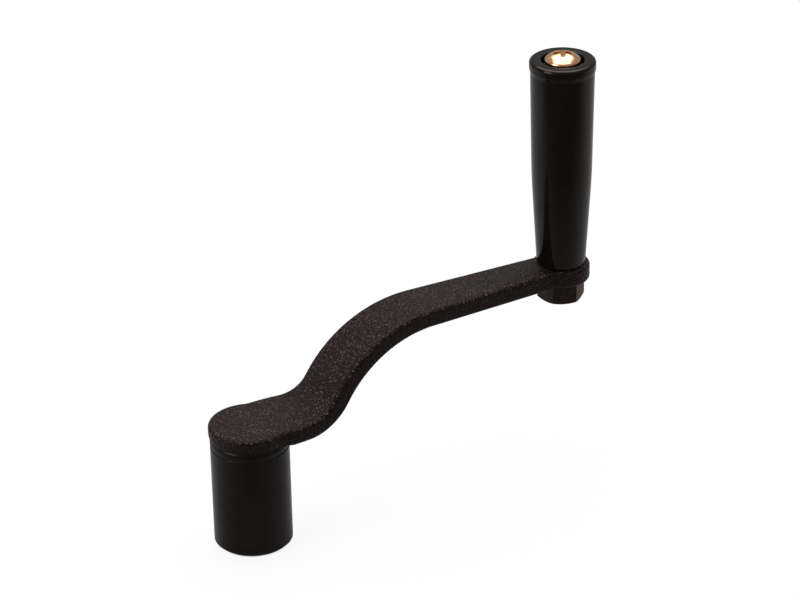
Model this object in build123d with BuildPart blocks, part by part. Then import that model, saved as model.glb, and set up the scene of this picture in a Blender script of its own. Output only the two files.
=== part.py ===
"""Crank handle: a bent steel arm welded on a turned hub, with a grip that turns on a spindle.

The origin is at the mouth of the hub's bore, on the hub's axis.
+Z runs up the hub towards the arm, and +X runs along the arm towards the grip.
All sizes are in millimetres.
"""

import os
from math import cos, radians, sin, tan

from build123d import *

# Throw: from the hub's axis to the grip's axis.
throw = 120.0

# Hub: a turned barrel with a blind bore for the shaft.
hub_dia = 26.0
hub_height = 37.8
hub_foot_chamfer = 0.5
bore_dia = 14.0
bore_floor = 7.8
drill_point_angle = 118.0

# Arm: a blank with a round pad over the hub and a round boss under the grip, bent in an S.
arm_thickness = 6.0
arm_edge_radius = 1.2
pad_dia = 26.8
boss_dia = 19.5
root_width = 24.7
bar_width = 21.3
tip_width = 14.4
shoulder_start = 10.0
shoulder_end = 28.0
pad_neck_radius = 3.0
boss_neck_radius = 1.5

# S-bend: the rise from the pad to the boss, measured on the arm's top face.
rise = 27.1
bend_start = 16.6
bend_angle = 56.6
lower_bend_radius = 11.5
riser_length = 2.2

# Weld: one ring in a bevel round the hub's top edge.
weld_bevel = 2.0
weld_bead_radius = 1.05
weld_bead_drop = 0.75

# Set screw: in a tapped hole under the arm, sunk in the hub's side and just short of the bore.
set_screw_dia = 6.0
set_screw_height = 14.0
set_screw_sink = 0.7
set_screw_setback = 0.3
set_screw_tip_chamfer = 0.8
set_screw_socket_across_flats = 3.0
set_screw_socket_depth = 2.4

# Spindle: screwed up through the boss, plain where the grip turns on it.
spindle_dia = 10.0
spindle_collar_dia = 12.0
spindle_end_chamfer = 0.6
spindle_hex_across_flats = 14.0
spindle_hex_height = 6.4
spindle_hex_chamfer_angle = 30.0
spindle_hex_turn = 38.5
tapped_depth = 16.0

# Grip: a moulded handle, straight-sided with a slim foot and a rolled rim at its top.
grip_length = 73.4
rim_dia = 22.1
rim_height = 2.6
rim_top_radius = 1.1
rim_cove_height = 1.8
body_dia = 21.35
waist_dia = 20.15
waist_depth = 41.8
waist_blend_radius = 260.0
foot_dia = 16.5
foot_edge_radius = 0.5
counterbore_dia = 14.3
counterbore_edge_radius = 0.4

# Running clearances round the turning grip, and the slack of the fixed threads.
grip_bore_clearance = 0.05
grip_end_play = 0.15
thread_clearance = 0.05

# Retaining washer and pan-head screw in the spindle's end.
washer_dia = 12.5
washer_thickness = 1.6
screw_dia = 6.0
screw_length = 14.0
screw_head_dia = 12.0
screw_head_height = 4.6
screw_head_side = 2.3
screw_head_stand = 2.5
screw_head_round = 1.0
cross_recess_dia = 6.4
cross_recess_width = 1.7
cross_recess_depth = 2.6
cross_recess_taper = 26.0
cross_recess_turn = 60.5

# Heights and radii that follow from the sizes above.
bore_depth = hub_height - bore_floor
arm_top = hub_height + arm_thickness
boss_top = arm_top + rise
boss_under = boss_top - arm_thickness
grip_foot = boss_top + grip_end_play
grip_top = grip_foot + grip_length
screw_top = grip_top + screw_head_stand
washer_top = screw_top - screw_head_height
spindle_top = washer_top - washer_thickness
counterbore_floor = spindle_top - grip_end_play
counterbore_depth = grip_top - counterbore_floor
grip_bore_dia = spindle_dia + 2 * grip_bore_clearance
tap_drill_dia = screw_dia + 2 * thread_clearance
set_screw_tip = bore_dia / 2 + set_screw_setback
set_screw_end = hub_dia / 2 - set_screw_sink


def rise_radius():
    """Radius of the upper bend's top face that brings the arm up by the rise."""
    turn = 1 - cos(radians(bend_angle))
    lower_rise = lower_bend_radius * turn
    straight_rise = riser_length * sin(radians(bend_angle))
    return (rise - lower_rise - straight_rise) / turn


def side_line(depth):
    """Draw the arm's side line at a depth below its top face and return its two ends."""
    pad = Line((-pad_dia, arm_top - depth), (bend_start, arm_top - depth))
    lower = JernArc(pad @ 1, pad % 1, lower_bend_radius + depth, bend_angle)
    riser = Line(lower @ 1, lower @ 1 + (lower % 1) * riser_length)
    upper = JernArc(riser @ 1, riser % 1, rise_radius() - depth, -bend_angle)
    bar = Line(upper @ 1, (throw + boss_dia, boss_top - depth))
    return pad @ 0, bar @ 1


def save(part, name):
    """Label a finished piece and write it to its own file."""
    part.label = name
    export_step(part, f"parts/{name}.step")


os.makedirs("parts", exist_ok=True)

# The arm: its side profile, cut to the outline of its blank and rounded all along its edges.
with BuildPart() as crank_arm:
    with BuildSketch(Plane.XZ):
        with BuildLine():
            top_start, top_end = side_line(0)
            under_start, under_end = side_line(arm_thickness)
            Line(top_start, under_start)
            Line(top_end, under_end)
        make_face()
    extrude(amount=pad_dia, both=True)

    with BuildSketch() as blank:
        Circle(pad_dia / 2)
        with Locations((throw, 0)):
            Circle(boss_dia / 2)
        with BuildLine():
            taper_slope = (tip_width - bar_width) / 2 / (throw - shoulder_end)
            root = Polyline((0, 0), (0, root_width / 2), (shoulder_start, root_width / 2))
            shoulder = Spline(
                root @ 1,
                (shoulder_end, bar_width / 2),
                tangents=[(1, 0), (1, taper_slope)],
            )
            Polyline(shoulder @ 1, (throw, tip_width / 2), (throw, 0))
            mirror(about=Plane.XZ)
        make_face()
        necks = blank.vertices().filter_by(
            lambda v: abs(Vector(v.X, v.Y).length - pad_dia / 2) < 0.01 and v.X > 1
        )
        fillet(necks, pad_neck_radius)
        boss_necks = blank.vertices().filter_by(
            lambda v: abs(Vector(v.X - throw, v.Y).length - boss_dia / 2) < 0.01 and v.X < throw - 1
        )
        fillet(boss_necks, boss_neck_radius)
    extrude(amount=boss_top + arm_thickness, mode=Mode.INTERSECT)

    sides = crank_arm.faces().filter_by(lambda f: abs(f.normal_at(None).Z) < 0.01)
    rims = [e for side in sides for e in side.edges() if abs(e.tangent_at(0.5).Z) < 0.99]
    fillet(rims, arm_edge_radius)

    with Locations((throw, 0, boss_top)):
        Hole(spindle_collar_dia / 2 + thread_clearance, arm_thickness)

save(crank_arm.part, "crank_arm")

# The hub: one turned barrel, bevelled at the top for the weld, bored and cross-tapped.
with BuildPart() as hub:
    with BuildSketch(Plane.XZ):
        with BuildLine():
            hub_r = hub_dia / 2
            bore_r = bore_dia / 2
            drill_point = bore_r / tan(radians(drill_point_angle / 2))
            Polyline(
                (bore_r, 0),
                (hub_r - hub_foot_chamfer, 0),
                (hub_r, hub_foot_chamfer),
                (hub_r, hub_height - weld_bevel),
                (hub_r - weld_bevel, hub_height),
                (0, hub_height),
                (0, bore_depth + drill_point),
                (bore_r, bore_depth),
                (bore_r, 0),
            )
        make_face()
    revolve(axis=Axis.Z)
    with BuildSketch(Plane.YZ):
        with Locations((0, set_screw_height)):
            Circle(set_screw_dia / 2 + thread_clearance)
    extrude(amount=hub_dia, mode=Mode.SUBTRACT)

save(hub.part, "hub")

# The weld: a bead that fills the bevel between the hub and the arm's pad.
with BuildPart() as hub_weld:
    with BuildSketch(Plane.XZ):
        with Locations((hub_dia / 2 - weld_bead_radius, hub_height - weld_bead_drop)):
            Circle(weld_bead_radius)
        with BuildLine():
            Polyline(
                (hub_dia / 2 - weld_bevel, hub_height),
                (hub_dia / 2 - weld_bead_radius, hub_height),
                (hub_dia / 2 - weld_bead_radius, hub_height - weld_bevel),
                close=True,
            )
        make_face()
    revolve(axis=Axis.Z)
    add(hub.part, mode=Mode.SUBTRACT)
    add(crank_arm.part, mode=Mode.SUBTRACT)

save(hub_weld.part, "hub_weld")

# The set screw: socket at its outer end, chamfered tip towards the shaft.
with BuildPart() as set_screw:
    with BuildSketch(Plane.YZ.offset(set_screw_tip)):
        with Locations((0, set_screw_height)):
            Circle(set_screw_dia / 2)
    extrude(amount=set_screw_end - set_screw_tip)
    tip_edge = set_screw.edges().filter_by(GeomType.CIRCLE).sort_by(Axis.X)[0]
    chamfer(tip_edge, set_screw_tip_chamfer)
    with BuildSketch(Plane.YZ.offset(set_screw_end)):
        with Locations((0, set_screw_height)):
            RegularPolygon(set_screw_socket_across_flats / 2, 6, major_radius=False)
    extrude(amount=-set_screw_socket_depth, mode=Mode.SUBTRACT)

save(set_screw.part, "set_screw")

# The spindle: hex head under the boss, threaded collar in it, plain bearing above it.
with BuildPart() as spindle:
    with BuildSketch(Plane.XY.offset(boss_under - spindle_hex_height)):
        with Locations((throw, 0)):
            RegularPolygon(
                spindle_hex_across_flats / 2, 6, major_radius=False, rotation=spindle_hex_turn
            )
    extrude(amount=spindle_hex_height)

    with BuildSketch(Plane.XZ):
        with BuildLine():
            hex_r = spindle_hex_across_flats / 2
            corner_r = hex_r / cos(radians(30))
            corner_drop = (corner_r - hex_r) * tan(radians(spindle_hex_chamfer_angle))
            hex_foot = boss_under - spindle_hex_height
            Polyline(
                (throw, hex_foot),
                (throw + hex_r, hex_foot),
                (throw + corner_r, hex_foot + corner_drop),
                (throw + corner_r, boss_under),
                (throw, boss_under),
                close=True,
            )
        make_face()
    revolve(axis=Axis((throw, 0, 0), (0, 0, 1)), mode=Mode.INTERSECT)

    with BuildSketch(Plane.XY.offset(boss_under)):
        with Locations((throw, 0)):
            Circle(spindle_collar_dia / 2)
    extrude(amount=arm_thickness)
    with BuildSketch(Plane.XY.offset(boss_top)):
        with Locations((throw, 0)):
            Circle(spindle_dia / 2)
    extrude(amount=spindle_top - boss_top)
    chamfer(spindle.edges().filter_by(GeomType.CIRCLE).sort_by(Axis.Z)[-1], spindle_end_chamfer)
    with Locations((throw, 0, spindle_top)):
        Hole(tap_drill_dia / 2, tapped_depth)

save(spindle.part, "spindle")

# The grip: one moulding, turned about the spindle.
with BuildPart() as grip:
    with BuildSketch(Plane.XZ):
        with BuildLine():
            axis_foot = (throw, grip_foot)
            waist = (throw + waist_dia / 2, grip_top - waist_depth)
            cove_foot = (throw + body_dia / 2, grip_top - rim_height - rim_cove_height)
            rim_foot = (throw + rim_dia / 2, grip_top - rim_height)
            side = FilletPolyline(
                (throw + foot_dia / 2, grip_foot), waist, cove_foot, radius=waist_blend_radius
            )
            cove = Spline(side @ 1, rim_foot, tangents=[side % 1, (0, 1)])
            rim = Line(rim_foot, (throw + rim_dia / 2, grip_top))
            Line(rim @ 1, (throw, grip_top))
            Line((throw, grip_top), axis_foot)
            Line(axis_foot, side @ 0)
        make_face()
    revolve(axis=Axis((throw, 0, 0), (0, 0, 1)))
    outer_rims = grip.edges().filter_by(GeomType.CIRCLE).sort_by(Axis.Z)
    fillet(outer_rims[-1], rim_top_radius)
    fillet(grip.edges().filter_by(GeomType.CIRCLE).sort_by(Axis.Z)[0], foot_edge_radius)
    with Locations((throw, 0, grip_top)):
        CounterBoreHole(
            grip_bore_dia / 2, counterbore_dia / 2, counterbore_depth, grip_length
        )
    mouth = grip.edges().filter_by(GeomType.CIRCLE).group_by(Axis.Z)[-1].sort_by(SortBy.RADIUS)[0]
    fillet(mouth, counterbore_edge_radius)

save(grip.part, "grip")

# The washer: on the spindle's end, wide enough to hold the grip down.
with BuildPart() as retaining_washer:
    with BuildSketch(Plane.XY.offset(spindle_top)):
        with Locations((throw, 0)):
            Circle(washer_dia / 2)
            Circle(tap_drill_dia / 2 + thread_clearance, mode=Mode.SUBTRACT)
    extrude(amount=washer_thickness)

save(retaining_washer.part, "retaining_washer")

# The screw: domed pan head with a cross recess, shank down into the spindle.
with BuildPart() as retaining_screw:
    with BuildSketch(Plane.XZ) as head:
        with BuildLine():
            head_r = screw_head_dia / 2
            dome_height = screw_head_height - screw_head_side
            dome_radius = (head_r**2 + dome_height**2) / (2 * dome_height)
            Polyline(
                (throw, screw_top),
                (throw, washer_top),
                (throw + head_r, washer_top),
                (throw + head_r, washer_top + screw_head_side),
            )
            RadiusArc((throw + head_r, washer_top + screw_head_side), (throw, screw_top), -dome_radius)
        make_face()
        dome_foot = head.vertices().group_by(Axis.Y)[-2].sort_by(Axis.X)[-1]
        fillet(dome_foot, screw_head_round)
    revolve(axis=Axis((throw, 0, 0), (0, 0, 1)))
    with BuildSketch(Plane.XY.offset(washer_top)):
        with Locations((throw, 0)):
            Circle(screw_dia / 2)
    extrude(amount=-screw_length)
    for turn in (cross_recess_turn, cross_recess_turn + 90):
        along = (cos(radians(turn)), sin(radians(turn)), 0)
        across = (sin(radians(turn)), -cos(radians(turn)), 0)
        with BuildSketch(Plane(origin=(throw, 0, screw_top), x_dir=along, z_dir=across)):
            with BuildLine():
                wing = cross_recess_dia / 2
                wing_foot = wing - cross_recess_depth * tan(radians(cross_recess_taper))
                Polyline(
                    (-wing, 0),
                    (-wing_foot, -cross_recess_depth),
                    (wing_foot, -cross_recess_depth),
                    (wing, 0),
                    close=True,
                )
            make_face()
        extrude(amount=cross_recess_width / 2, both=True, mode=Mode.SUBTRACT)

save(retaining_screw.part, "retaining_screw")
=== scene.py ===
"""Finishes and studio for a hand crank: a hub, a bent arm and a turning grip.

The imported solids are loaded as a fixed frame. Each operator gives one piece, or one
group of like pieces, its finish, and the last one sets up the studio round it. Four
new meshes stand for their solids: the arm, the hub, its weld bead and the spindle.
"""

import math

import bmesh
import bpy
from bpy.props import FloatProperty, FloatVectorProperty, PointerProperty
from mathutils import Matrix, Vector


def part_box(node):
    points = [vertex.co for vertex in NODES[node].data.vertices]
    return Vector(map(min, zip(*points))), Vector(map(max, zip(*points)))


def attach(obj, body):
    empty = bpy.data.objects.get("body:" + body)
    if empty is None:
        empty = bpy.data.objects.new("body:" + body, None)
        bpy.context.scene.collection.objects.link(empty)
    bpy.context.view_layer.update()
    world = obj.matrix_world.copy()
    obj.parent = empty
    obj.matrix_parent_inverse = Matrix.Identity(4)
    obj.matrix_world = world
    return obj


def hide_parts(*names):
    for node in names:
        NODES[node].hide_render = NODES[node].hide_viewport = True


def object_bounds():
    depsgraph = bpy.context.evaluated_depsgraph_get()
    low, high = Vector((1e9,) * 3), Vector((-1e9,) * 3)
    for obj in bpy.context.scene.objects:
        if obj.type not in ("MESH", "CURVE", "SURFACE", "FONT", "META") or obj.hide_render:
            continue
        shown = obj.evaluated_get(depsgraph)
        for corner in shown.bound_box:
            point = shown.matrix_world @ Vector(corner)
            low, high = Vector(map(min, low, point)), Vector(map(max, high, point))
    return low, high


bl_info = {
    "name": "Crank handle",
    "version": (1, 0, 0),
    "blender": (4, 5, 0),
    "location": "View3D > Sidebar > Crank handle",
    "description": "Coats, plating and studio for a hand crank with a turning grip",
    "category": "Object",
}

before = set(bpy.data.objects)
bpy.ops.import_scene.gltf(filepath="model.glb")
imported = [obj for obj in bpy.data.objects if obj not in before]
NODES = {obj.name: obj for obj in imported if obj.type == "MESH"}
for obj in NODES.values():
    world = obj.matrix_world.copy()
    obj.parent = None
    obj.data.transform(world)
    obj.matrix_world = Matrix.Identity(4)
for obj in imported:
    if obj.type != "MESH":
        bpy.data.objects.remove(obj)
CAD_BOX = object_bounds()

# Lengths in metres.
PLATE = 0.006  # thickness of the arm
MERGE = 1e-7  # vertices nearer than this are one
REACH = 0.001  # how far a cutter stands out past a piece
DROP = 0.0002  # how far a cutter hangs below the foot that it cuts
LAP = 0.0003  # how far the pad's cutters run on past the seat
SKIN = 0.00002  # how far the rim's cutter stands out past the rim

SPIN_STEPS = 128
WHITE = (1.0, 1.0, 1.0, 1.0)


def colour_property(name, description, default):
    """A plain colour of a finish, as linear red, green and blue."""
    return FloatVectorProperty(
        name=name, description=description, default=default, size=3, min=0.0, max=1.0,
        subtype="COLOR",
    )


def length_property(name, description, default):
    """A length in metres."""
    return FloatProperty(
        name=name, description=description, default=default, min=0.0, unit="LENGTH"
    )


def spot_property(name, description, default):
    """A place along a line, in metres to either side of its zero."""
    return FloatProperty(name=name, description=description, default=default, unit="LENGTH")


def angle_property(name, description, degrees):
    """An angle, given in degrees."""
    return FloatProperty(
        name=name, description=description, default=math.radians(degrees), subtype="ANGLE"
    )


def power_property(name, description, default):
    """A lamp's power in watts."""
    return FloatProperty(name=name, description=description, default=default, unit="POWER")


def share_property(name, description, default):
    """A number from 0 to 1."""
    return FloatProperty(
        name=name, description=description, default=default, min=0.0, max=1.0, subtype="FACTOR"
    )


class CoatSettings(bpy.types.PropertyGroup):
    """The textured powder coat on the arm."""

    shade: colour_property("Coat", "Colour of the coat in its hollows", (0.0040, 0.0020, 0.0018))
    # Painted glints: a lighter colour painted on the raised grains, standing in for the light that
    # glints on them.
    painted_glint_shade: colour_property(
        "Grain tips", "Colour of the coat's raised grains", (0.150, 0.090, 0.080)
    )
    grain_size: length_property("Grain size", "Width of one grain of the coat", 0.00095)
    grain_height: length_property("Grain height", "How far a grain stands up", 0.00080)
    roughness: share_property("Roughness", "Roughness of the coat", 0.38)
    seat_depth: length_property(
        "Seat depth", "How deep the hub's seat is cut under the pad", 0.00105
    )
    seat_radius: length_property("Seat radius", "Radius of the flat seat under the pad", 0.0145)
    seat_flare: length_property(
        "Seat flare", "How far the seat's sloped wall runs outwards", 0.0018
    )
    pad_round: length_property(
        "Pad rounding", "Height of the soft rounding on the pad's lower edge", 0.0018
    )


class HubSettings(bpy.types.PropertyGroup):
    """The smooth coat on the hub and its weld bead."""

    shade: colour_property("Coat", "Colour of the smooth coat", (0.0022, 0.0015, 0.0012))
    edge_shade: colour_property(
        "Thin coat", "Colour where the coat is thin", (0.0046, 0.0034, 0.0030)
    )
    roughness: share_property("Roughness", "Roughness of the smooth coat", 0.26)
    peel_size: length_property("Orange peel", "Width of the coat's soft waves", 0.0016)
    foot_chamfer: length_property("Foot chamfer", "Chamfer round the hub's foot", 0.0011)
    bead_top: length_property(
        "Bead top", "Depth of the weld bead's upper edge below the pad's top", 0.0050
    )
    bead_foot: length_property(
        "Bead foot", "Depth of the weld bead's lower edge below the pad's top", 0.0079
    )
    bead_groove: length_property(
        "Bead grooves", "Depth of the grooves at the bead's edges", 0.00032
    )


class SteelSettings(bpy.types.PropertyGroup):
    """The blackened steel of the spindle and the set screw."""

    shade: colour_property("Steel", "Colour of the blackened steel", (0.010, 0.0065, 0.0050))
    worn_shade: colour_property(
        "Worn steel", "Colour where the black oxide is rubbed", (0.040, 0.030, 0.024)
    )
    roughness: share_property("Roughness", "Roughness of the blackened steel", 0.40)
    across_flats: length_property(
        "Across flats", "Width of the hex head across its flats", 0.0140
    )
    head_height: length_property(
        "Head height", "Height of the hex head under the boss", 0.0071
    )
    head_chamfer: angle_property("Head chamfer", "Slope of the chamfer on the hex head", 24.0)
    head_turn: angle_property("Head turn", "Turn of the hex head about the spindle", 8.5)


class GripSettings(bpy.types.PropertyGroup):
    """The moulded plastic of the grip."""

    shade: colour_property("Plastic", "Colour of the plastic", (0.0022, 0.0012, 0.0009))
    roughness: share_property("Roughness", "Roughness of the moulded face", 0.13)
    flow_height: length_property(
        "Flow waves", "Depth of the moulding's long soft waves", 0.00002
    )


class ZincSettings(bpy.types.PropertyGroup):
    """The yellow zinc plating of the retaining screw and its washer."""

    shade: colour_property("Plating", "Colour of the bright plating", (0.93, 0.62, 0.36))
    tint: colour_property("Passivation", "Warm tint in the plating", (0.80, 0.36, 0.15))
    roughness: share_property("Roughness", "Roughness of the plating", 0.20)


class StudioSettings(bpy.types.PropertyGroup):
    """The floor, the lamps and the camera."""

    floor_shade: colour_property("Floor", "Colour of the floor", (0.90, 0.90, 0.90))
    shadow_share: share_property(
        "Shadow", "How much of the object's shadow the floor keeps", 0.12
    )
    bearing: angle_property("Bearing", "Way the camera looks, from +Y towards +X", 29.53)
    tilt: angle_property("Tilt", "How far the camera looks down", 27.24)
    lean: angle_property("Lean", "How far the camera leans to one side", -1.047)
    distance: length_property("Distance", "From the camera to the point it looks at", 1.0189)
    lens: FloatProperty(
        name="Lens", description="Focal length on a 36 mm sensor", default=138.41,
        subtype="DISTANCE_CAMERA",
    )
    sky: share_property("Sky", "Strength of the soft light from all round", 0.45)
    mirror_share: share_property(
        "Mirrored sky", "How bright the sky shows in reflections", 0.33
    )
    sweep_share: share_property(
        "Mirrored ground", "How bright the ground behind shows in reflections", 0.45
    )
    sweep_start: spot_property(
        "Ground dark", "How far back the mirrored ground starts to brighten", -0.15
    )
    sweep_end: spot_property(
        "Ground bright", "How far back the mirrored ground is at its brightest", 0.08
    )
    top_lamp: power_property("Top lamp", "Power of the lamp above", 9.0)
    side_lamp: power_property("Side lamp", "Power of the lamp at the side", 4.0)


class Wire:
    """One output of a tree's nodes, on which sums can be written."""

    def __init__(self, nodes, socket):
        self.nodes = nodes
        self.socket = socket

    def __add__(self, other):
        return self.nodes.sum_of("ADD", self, other)

    def __radd__(self, other):
        return self.nodes.sum_of("ADD", other, self)

    def __sub__(self, other):
        return self.nodes.sum_of("SUBTRACT", self, other)

    def __rsub__(self, other):
        return self.nodes.sum_of("SUBTRACT", other, self)

    def __mul__(self, other):
        return self.nodes.sum_of("MULTIPLY", self, other)

    def __rmul__(self, other):
        return self.nodes.sum_of("MULTIPLY", other, self)


class Nodes:
    """A node tree under construction."""

    def __init__(self, tree):
        self.tree = tree
        tree.nodes.clear()

    def node(self, kind, settings=None, values=None, out=0):
        """Adds a node: its settings first, then the values or links of its sockets."""
        made = self.tree.nodes.new(kind)
        for key, value in (settings or {}).items():
            setattr(made, key, value)
        for key, value in (values or {}).items():
            if isinstance(value, Wire):
                self.tree.links.new(value.socket, made.inputs[key])
            else:
                made.inputs[key].default_value = value
        return Wire(self, made.outputs[out]) if made.outputs else None

    def sum_of(self, operation, first, second):
        """One step of arithmetic."""
        return self.node("ShaderNodeMath", {"operation": operation}, {0: first, 1: second})

    def ray(self, kind):
        """1 where a ray is of this kind, and 0 elsewhere."""
        return self.node("ShaderNodeLightPath", out=f"Is {kind} Ray")

    def between(self, value, low, high, to_low=0.0, to_high=1.0):
        """Takes value from low..high to to_low..to_high, smoothly and without going past."""
        return self.node(
            "ShaderNodeMapRange",
            {"interpolation_type": "SMOOTHSTEP", "clamp": True},
            {
                "Value": value, "From Min": low, "From Max": high,
                "To Min": to_low, "To Max": to_high,
            },
        )


class Finish(Nodes):
    """A node material under construction."""

    def __init__(self, name):
        self.material = bpy.data.materials.new(name)
        self.material.use_nodes = True
        super().__init__(self.material.node_tree)
        self.place = self.node("ShaderNodeTexCoord", out="Object")

    def noise(self, size, detail, roughness, stretch=None):
        """Soft noise whose features are about size metres wide."""
        at = self.place
        if stretch:
            at = self.node("ShaderNodeMapping", {}, {"Vector": at, "Scale": stretch})
        return self.node(
            "ShaderNodeTexNoise",
            {"noise_dimensions": "3D"},
            {"Vector": at, "Scale": 1.0 / size, "Detail": detail, "Roughness": roughness},
        )

    def cells(self, size, smoothness):
        """Soft cells about size metres wide: 0 in the middle of each, more at its edge."""
        return self.node(
            "ShaderNodeTexVoronoi",
            {"feature": "SMOOTH_F1"},
            {"Vector": self.place, "Scale": 1.0 / size, "Smoothness": smoothness},
            "Distance",
        )

    def upward(self):
        """How far the face looks up: 1 for a top, 0 for an upright side."""
        normal = self.node("ShaderNodeTexCoord", out="Normal")
        return self.node("ShaderNodeSeparateXYZ", {}, {0: normal}, "Z")

    def blend(self, share, first, second):
        """Mixes two plain colours."""
        return self.node(
            "ShaderNodeMix", {"data_type": "RGBA"},
            {0: share, 6: (*first, 1.0), 7: (*second, 1.0)}, 2,
        )

    def bump(self, height, depth, under=None):
        """Raises the surface by height times depth metres, over another bump if given."""
        values = {"Height": height, "Distance": depth, "Strength": 1.0}
        if under is not None:
            values["Normal"] = under
        return self.node("ShaderNodeBump", {}, values, "Normal")

    def surface(self, **values):
        """Ends the material in one Principled shader, its sockets named with underscores."""
        named = {key.replace("_", " "): value for key, value in values.items()}
        return self.end(self.node("ShaderNodeBsdfPrincipled", {}, named))

    def end(self, shader):
        """Joins a shader to the material's output."""
        self.node("ShaderNodeOutputMaterial", {}, {"Surface": shader})
        return self.material


def wear_finish(node, material):
    """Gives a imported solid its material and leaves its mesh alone."""
    mesh = NODES[node].data
    if len(mesh.materials):
        for index in range(len(mesh.materials)):
            mesh.materials[index] = material
    else:
        mesh.materials.append(material)


def new_piece(name, mesh):
    """Makes a shown object of a finished bmesh."""
    data = bpy.data.meshes.new(name)
    mesh.to_mesh(data)
    mesh.free()
    piece = bpy.data.objects.new(name, data)
    bpy.context.scene.collection.objects.link(piece)
    return piece


def spin_profile(name, profile, centre=(0.0, 0.0)):
    """Turns a closed profile of (radius, height) points round an upright axis."""
    mesh = bmesh.new()
    points = [
        mesh.verts.new((centre[0] + radius, centre[1], height)) for radius, height in profile
    ]
    edges = [mesh.edges.new((a, b)) for a, b in zip(points, points[1:] + points[:1])]
    bmesh.ops.spin(
        mesh, geom=points + edges, cent=(*centre, 0.0), axis=(0.0, 0.0, 1.0), angle=math.tau,
        steps=SPIN_STEPS, use_merge=True,
    )
    bmesh.ops.remove_doubles(mesh, verts=mesh.verts, dist=MERGE)
    bmesh.ops.recalc_face_normals(mesh, faces=mesh.faces)
    return new_piece(name, mesh)


def chamfer_profile(inner, outer, foot, rise):
    """The section of a cutter that slopes a foot's edge from inner up to outer."""
    side = outer + REACH
    return [
        (inner, foot - DROP), (inner, foot), (outer, foot + rise), (side, foot + rise),
        (side, foot - DROP),
    ]


def merged_copy(name, node):
    """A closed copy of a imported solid's mesh."""
    mesh = bmesh.new()
    mesh.from_mesh(NODES[node].data)
    bmesh.ops.remove_doubles(mesh, verts=mesh.verts, dist=MERGE)
    return new_piece(name, mesh)


def carve(piece, cutter):
    """Cuts one piece with another, keeps the result and removes the cutter."""
    cut = piece.modifiers.new("cut", "BOOLEAN")
    cut.object, cut.operation, cut.solver = cutter, "DIFFERENCE", "EXACT"
    graph = bpy.context.evaluated_depsgraph_get()
    done = bpy.data.meshes.new_from_object(piece.evaluated_get(graph))
    piece.modifiers.clear()
    old = piece.data
    piece.data = done
    bpy.data.meshes.remove(old)
    bpy.data.objects.remove(cutter)


def smooth_faces(piece, angle):
    """Shades the faces smooth, with an edge wherever they meet at angle degrees or more."""
    data = piece.data
    mesh = bmesh.new()
    mesh.from_mesh(data)
    for face in mesh.faces:
        face.smooth = True
    limit = math.radians(angle)
    for edge in mesh.edges:
        edge.smooth = len(edge.link_faces) == 2 and edge.calc_face_angle() < limit
    mesh.to_mesh(data)
    mesh.free()


def dress(piece, material, body, slot, *stands_for):
    """Gives a new piece its material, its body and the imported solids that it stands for."""
    piece.data.materials.clear()
    piece.data.materials.append(material)
    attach(piece, body)
    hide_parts(*stands_for)


class CRANK_OT_coat_arm(bpy.types.Operator):
    """Covers the arm with a fine-grained textured powder coat"""

    bl_idname = "crank.coat_arm"
    bl_label = "Coat the arm"

    def execute(self, context):
        settings = context.scene.crank_coat
        finish = Finish("textured_coat")
        size = settings.grain_size
        grains = finish.cells(size, smoothness=0.35)
        fine = finish.noise(size * 0.55, detail=3.0, roughness=0.6)
        broad = finish.noise(size * 3.0, detail=2.0, roughness=0.5)
        drift = finish.noise(0.011, detail=3.0, roughness=0.55)
        peaks = 1.0 - grains + (fine - 0.5) * 0.8 + (broad - 0.5) * 0.5
        # Painted glints: the raised grains, in patches, get a lighter colour that stands in for
        # glints of light.
        painted_glints = finish.between(peaks, 0.55, 1.05) * finish.between(drift, 0.30, 0.75, 0.55, 1.0)
        # Painted highlight: the glints are painted only on the faces that look up, where the light
        # would catch the grain.
        painted_glints = painted_glints * finish.between(finish.upward(), 0.1, 0.6, 0.10, 1.0)
        # The coat's own dark colour, with the painted glints on its grains.
        shade = finish.blend(painted_glints, settings.shade, settings.painted_glint_shade)
        height = (1.0 - grains) * 0.6 + fine * 0.5 + broad * 0.5
        base = settings.roughness
        rough = finish.between(fine, 0.3, 0.7, base - 0.08, base + 0.08)
        material = finish.surface(
            Base_Color=shade,
            Roughness=rough,
            Specular_IOR_Level=0.22,
            Specular_Tint=(1.0, 0.62, 0.56, 1.0),
            Normal=finish.bump(height, settings.grain_height),
        )
        arm = merged_copy("bent_arm", "crank_arm")
        self.cut_seat(arm, settings)
        smooth_faces(arm, 24.0)
        dress(arm, material, "crank", "textured_black_coat", "crank_arm")
        return {"FINISHED"}

    def cut_seat(self, arm, settings):
        """Cuts the flat seat for the hub under the pad and softens the pad's lower edge."""
        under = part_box("hub")[1].z
        seat = under + settings.seat_depth
        flare = settings.seat_radius + settings.seat_flare
        below = under - REACH
        carve(arm, spin_profile("seat_cutter", [
            (0.0, below), (flare + LAP, below), (flare, under), (settings.seat_radius, seat),
            (0.0, seat),
        ]))
        rim = -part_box("crank_arm")[0].x
        inset = 0.00055
        rounded = [
            (rim - inset * (1.0 - t) ** 2, seat + settings.pad_round * t)
            for t in (0.0, 0.25, 0.5, 0.75, 1.0)
        ]
        carve(arm, spin_profile("rim_cutter", [
            (rim - inset, seat - LAP), *rounded, (rim + SKIN, seat + settings.pad_round),
            (rim + SKIN, seat - LAP),
        ]))


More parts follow.
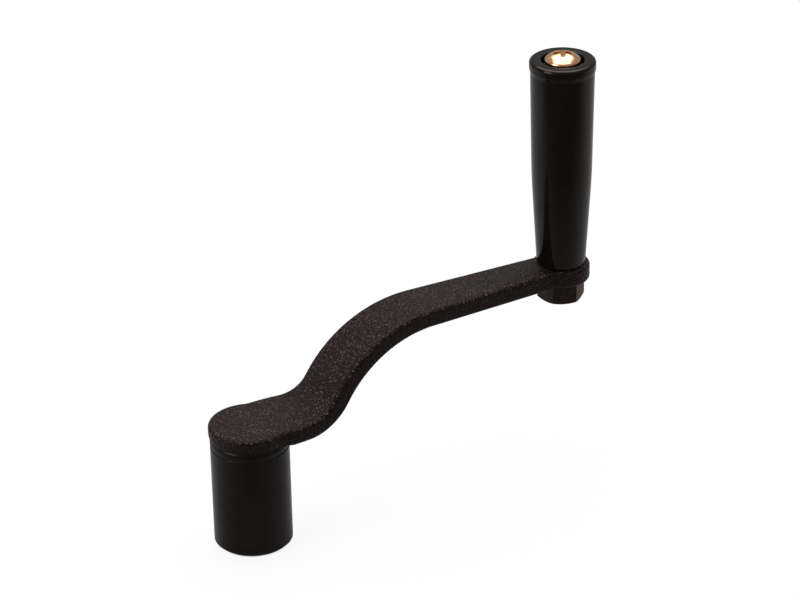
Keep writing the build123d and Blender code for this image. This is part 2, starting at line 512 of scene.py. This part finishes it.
class CRANK_OT_coat_hub(bpy.types.Operator):
    """Covers the hub barrel and its weld bead with the smooth coat"""

    bl_idname = "crank.coat_hub"
    bl_label = "Coat the hub"

    def execute(self, context):
        settings = context.scene.crank_hub
        finish = Finish("smooth_coat")
        peel = finish.noise(settings.peel_size, detail=2.0, roughness=0.45)
        drift = finish.noise(0.009, detail=3.0, roughness=0.6)
        specks = finish.noise(0.0005, detail=2.0, roughness=0.5)
        thin = finish.between(drift, 0.35, 0.75)
        shade = finish.blend(thin, settings.shade, settings.edge_shade)
        base = settings.roughness
        mottle = drift + (specks - 0.5) * 0.3
        rough = finish.between(mottle, 0.3, 0.75, base - 0.05, base + 0.08)
        waves = finish.bump(peel, 0.00003)
        material = finish.surface(
            Base_Color=shade,
            Roughness=rough,
            Specular_IOR_Level=0.24,
            Specular_Tint=(1.0, 0.78, 0.74, 1.0),
            Normal=finish.bump(specks, 0.00001, waves),
        )
        barrel = merged_copy("hub_barrel", "hub")
        low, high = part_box("hub")
        radius, chamfer = high.x, settings.foot_chamfer
        foot = chamfer_profile(radius - chamfer, radius, low.z, chamfer)
        carve(barrel, spin_profile("foot_cutter", foot))
        smooth_faces(barrel, 30.0)
        dress(barrel, material, "crank", "smooth_black_coat", "hub")
        bead = spin_profile("weld_bead", self.bead_profile(settings, radius, high.z))
        smooth_faces(bead, 40.0)
        dress(bead, material, "crank", "smooth_black_coat", "hub_weld")
        return {"FINISHED"}

    def bead_profile(self, settings, radius, hub_top):
        """The bead's section: a soft bulge flush with the barrel, between its two grooves."""
        pad_top = hub_top + PLATE
        low, high = pad_top - settings.bead_foot, pad_top - settings.bead_top
        crown = radius + 0.00004
        root = radius - 0.0021
        steps = 12
        bulge = []
        for step in range(steps + 1):
            t = step / steps
            sunk = settings.bead_groove * abs(2.0 * t - 1.0) ** 2.2
            bulge.append((crown - sunk, low + (high - low) * t))
        return [(root, low), *bulge, (root, high)]


class CRANK_OT_black_steel(bpy.types.Operator):
    """Blackens the spindle and the set screw"""

    bl_idname = "crank.black_steel"
    bl_label = "Blacken the steel"

    def execute(self, context):
        settings = context.scene.crank_steel
        finish = Finish("black_oxide")
        drift = finish.noise(0.003, detail=3.0, roughness=0.6)
        specks = finish.noise(0.0004, detail=2.0, roughness=0.5)
        rubbed = finish.between(drift, 0.45, 0.80)
        shade = finish.blend(rubbed, settings.shade, settings.worn_shade)
        base = settings.roughness
        rough = finish.between(specks, 0.3, 0.7, base - 0.08, base + 0.10)
        material = finish.surface(
            Base_Color=shade,
            Metallic=finish.between(drift, 0.3, 0.8, 0.25, 0.55),
            Roughness=rough,
            Specular_IOR_Level=0.28,
            Specular_Tint=(1.0, 0.66, 0.50, 1.0),
            Normal=finish.bump(specks, 0.00002),
        )
        wear_finish("set_screw", material)
        spindle = merged_copy("hex_spindle", "spindle")
        self.swap_head(spindle, settings)
        smooth_faces(spindle, 18.0)
        dress(spindle, material, "crank", "black_oxide_steel", "spindle")
        return {"FINISHED"}

    def swap_head(self, spindle, settings):
        """Takes the plain head off the spindle and puts the full hex head on."""
        low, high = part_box("spindle")
        centre = ((low.x + high.x) / 2, 0.0)
        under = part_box("crank_arm")[1].z - PLATE
        mesh = bmesh.new()
        mesh.from_mesh(spindle.data)
        bmesh.ops.bisect_plane(
            mesh, geom=[*mesh.verts, *mesh.edges, *mesh.faces], plane_co=(0.0, 0.0, under),
            plane_no=(0.0, 0.0, 1.0), clear_inner=True,
        )
        corner = settings.across_flats / math.sqrt(3.0)
        turned = Matrix.Translation((*centre, under)) @ Matrix.Rotation(settings.head_turn, 4, "Z")
        ring = bmesh.ops.create_circle(
            mesh, cap_ends=True, segments=6, radius=corner, matrix=turned
        )
        cap = list(ring["verts"][0].link_faces)
        grown = bmesh.ops.extrude_face_region(mesh, geom=cap)
        foot = [item for item in grown["geom"] if isinstance(item, bmesh.types.BMVert)]
        bmesh.ops.translate(mesh, verts=foot, vec=(0.0, 0.0, -settings.head_height))
        bmesh.ops.recalc_face_normals(mesh, faces=mesh.faces)
        mesh.to_mesh(spindle.data)
        mesh.free()
        base = under - settings.head_height
        flat = settings.across_flats / 2
        rise = (corner - flat) * math.tan(settings.head_chamfer)
        edge = chamfer_profile(flat, corner, base, rise)
        carve(spindle, spin_profile("head_cutter", edge, centre=centre))


class CRANK_OT_mould_grip(bpy.types.Operator):
    """Gives the grip its glossy moulded plastic"""

    bl_idname = "crank.mould_grip"
    bl_label = "Mould the grip"

    def execute(self, context):
        settings = context.scene.crank_grip
        finish = Finish("moulded_plastic")
        flow = finish.noise(0.012, detail=2.0, roughness=0.5, stretch=(1.0, 1.0, 0.35))
        haze = finish.noise(0.006, detail=4.0, roughness=0.6)
        dust = finish.noise(0.00045, detail=2.0, roughness=0.5)
        hazy_shade = tuple(c * 1.7 for c in settings.shade)
        shade = finish.blend(finish.between(haze, 0.35, 0.75), settings.shade, hazy_shade)
        base = settings.roughness
        smear = haze + (dust - 0.5) * 0.25
        rough = finish.between(smear, 0.3, 0.75, base - 0.03, base + 0.06)
        waves = finish.bump(flow, settings.flow_height)
        material = finish.surface(
            Base_Color=shade,
            Roughness=rough,
            Specular_IOR_Level=0.32,
            Specular_Tint=(1.0, 0.80, 0.68, 1.0),
            Normal=finish.bump(dust, 0.000003, waves),
        )
        wear_finish("grip", material)
        return {"FINISHED"}


class CRANK_OT_plate_screw(bpy.types.Operator):
    """Plates the retaining screw and its washer with yellow zinc"""

    bl_idname = "crank.plate_screw"
    bl_label = "Plate the screw"

    def execute(self, context):
        settings = context.scene.crank_zinc
        finish = Finish("yellow_zinc_plating")
        cloud = finish.noise(0.0022, detail=3.0, roughness=0.6)
        fine = finish.noise(0.00035, detail=2.0, roughness=0.5)
        warm = finish.between(cloud, 0.35, 0.75)
        shade = finish.blend(warm, settings.shade, settings.tint)
        base = settings.roughness
        rough = finish.between(fine, 0.3, 0.7, base - 0.05, base + 0.08)
        material = finish.surface(
            Base_Color=shade,
            Metallic=1.0,
            Roughness=rough,
            Normal=finish.bump(fine, 0.000008),
        )
        wear_finish("retaining_screw", material)
        wear_finish("retaining_washer", material)
        return {"FINISHED"}


def camera_turn(settings):
    """The camera's right, up and back directions, as the columns of a matrix."""
    bearing, tilt = settings.bearing, settings.tilt
    forward = Vector((
        math.sin(bearing) * math.cos(tilt), math.cos(bearing) * math.cos(tilt), -math.sin(tilt)
    ))
    right = Vector((math.cos(bearing), -math.sin(bearing), 0.0))
    upright = Matrix((right, right.cross(forward), -forward)).transposed()
    return upright @ Matrix.Rotation(settings.lean, 3, "Z")


def add_lamp(name, place, aim, size, power):
    """A soft rectangular lamp at place that faces aim."""
    data = bpy.data.lights.new(name, "AREA")
    data.shape = "RECTANGLE"
    data.size, data.size_y = size
    data.energy = power
    lamp = bpy.data.objects.new(name, data)
    lamp.location = place
    lamp.rotation_mode = "QUATERNION"
    lamp.rotation_quaternion = (Vector(aim) - Vector(place)).to_track_quat("-Z", "Y")
    bpy.context.scene.collection.objects.link(lamp)


class CRANK_OT_set_studio(bpy.types.Operator):
    """Lays the pale floor, hangs the lamps and places the camera"""

    bl_idname = "crank.set_studio"
    bl_label = "Set up the studio"

    def execute(self, context):
        settings = context.scene.crank_studio
        self.lay_floor(settings)
        self.light_sky(context, settings)
        centre = (CAD_BOX[0] + CAD_BOX[1]) / 2
        add_lamp("top_lamp", (0.25, 0.25, 0.95), centre, (0.9, 0.9), settings.top_lamp)
        add_lamp("side_lamp", (-0.85, -0.10, 0.45), centre, (0.5, 0.8), settings.side_lamp)
        self.place_camera(context, settings)
        return {"FINISHED"}

    def lay_floor(self, settings):
        """Lays a white ground that keeps a faint shadow and mirrors dark in front."""
        mesh = bmesh.new()
        bmesh.ops.create_grid(mesh, x_segments=1, y_segments=1, size=4.0)
        floor = new_piece("floor", mesh)
        finish = Finish("pale_floor")
        camera = finish.ray("Camera")
        mirrored = finish.ray("Glossy") + finish.ray("Transmission")
        forward = (math.sin(settings.bearing), math.cos(settings.bearing), 0.0)
        away = finish.node(
            "ShaderNodeVectorMath", {"operation": "DOT_PRODUCT"},
            {0: finish.place, 1: forward}, "Value",
        )
        sweep = finish.between(
            away, settings.sweep_start, settings.sweep_end, 0.01, settings.sweep_share
        )
        lit = finish.node("ShaderNodeBsdfDiffuse", {}, {"Color": (*settings.floor_shade, 1.0)})
        white = finish.node(
            "ShaderNodeEmission", {}, {"Color": WHITE, "Strength": camera + mirrored * sweep}
        )
        share = (camera + mirrored) * (1.0 - settings.shadow_share)
        floor.data.materials.append(
            finish.end(finish.node("ShaderNodeMixShader", {}, {0: share, 1: lit, 2: white}))
        )

    def light_sky(self, context, settings):
        """A white sky: full to the camera, softer as light and in reflections."""
        world = bpy.data.worlds.new("soft_sky")
        context.scene.world = world
        world.use_nodes = True
        nodes = Nodes(world.node_tree)
        mirrored = nodes.sum_of("MAXIMUM", nodes.ray("Glossy"), nodes.ray("Transmission"))
        soft = nodes.node(
            "ShaderNodeMapRange", {},
            {"Value": mirrored, "To Min": settings.sky, "To Max": settings.mirror_share},
        )
        strength = nodes.sum_of("MAXIMUM", soft, nodes.ray("Camera"))
        white = nodes.node("ShaderNodeBackground", {}, {"Color": WHITE, "Strength": strength})
        nodes.node("ShaderNodeOutputWorld", {}, {"Surface": white})

    def place_camera(self, context, settings):
        """Places the camera above the crank's front, and sets plain view colours."""
        data = bpy.data.cameras.new("camera")
        data.lens = settings.lens
        data.sensor_width = 36.0
        data.clip_start, data.clip_end = 0.05, 20.0
        camera = bpy.data.objects.new("camera", data)
        turn = camera_turn(settings)
        aim = Vector((0.0608556, 0.0063550, 0.0691610))
        eye = aim + turn.col[2] * settings.distance
        camera.matrix_world = Matrix.Translation(eye) @ turn.to_4x4()
        context.scene.collection.objects.link(camera)
        context.scene.camera = camera
        context.scene.view_settings.view_transform = "Standard"


class CRANK_PT_panel(bpy.types.Panel):
    """The crank handle's finishes and studio"""

    bl_idname = "CRANK_PT_panel"
    bl_label = "Crank handle"
    bl_space_type = "VIEW_3D"
    bl_region_type = "UI"
    bl_category = "Crank handle"

    def draw(self, context):
        for group, operator in PARTS:
            box = self.layout.box()
            box.operator(operator.bl_idname)
            settings = getattr(context.scene, group)
            for name in settings.__annotations__:
                box.prop(settings, name)


SETTINGS = {
    "crank_coat": CoatSettings,
    "crank_hub": HubSettings,
    "crank_steel": SteelSettings,
    "crank_grip": GripSettings,
    "crank_zinc": ZincSettings,
    "crank_studio": StudioSettings,
}
PARTS = (
    ("crank_coat", CRANK_OT_coat_arm),
    ("crank_hub", CRANK_OT_coat_hub),
    ("crank_steel", CRANK_OT_black_steel),
    ("crank_grip", CRANK_OT_mould_grip),
    ("crank_zinc", CRANK_OT_plate_screw),
    ("crank_studio", CRANK_OT_set_studio),
)
CLASSES = (*SETTINGS.values(), *(operator for _, operator in PARTS), CRANK_PT_panel)


def register():
    """Adds the settings, the operators and the panel."""
    for made in CLASSES:
        bpy.utils.register_class(made)
    for name, group in SETTINGS.items():
        setattr(bpy.types.Scene, name, PointerProperty(type=group))


def unregister():
    """Takes them away again, last first."""
    for name in SETTINGS:
        delattr(bpy.types.Scene, name)
    for made in reversed(CLASSES):
        bpy.utils.unregister_class(made)


def main():
    """Registers the add-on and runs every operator."""
    register()
    bpy.ops.crank.coat_arm()
    bpy.ops.crank.coat_hub()
    bpy.ops.crank.black_steel()
    bpy.ops.crank.mould_grip()
    bpy.ops.crank.plate_screw()
    bpy.ops.crank.set_studio()


if __name__ == "__main__":
    main()
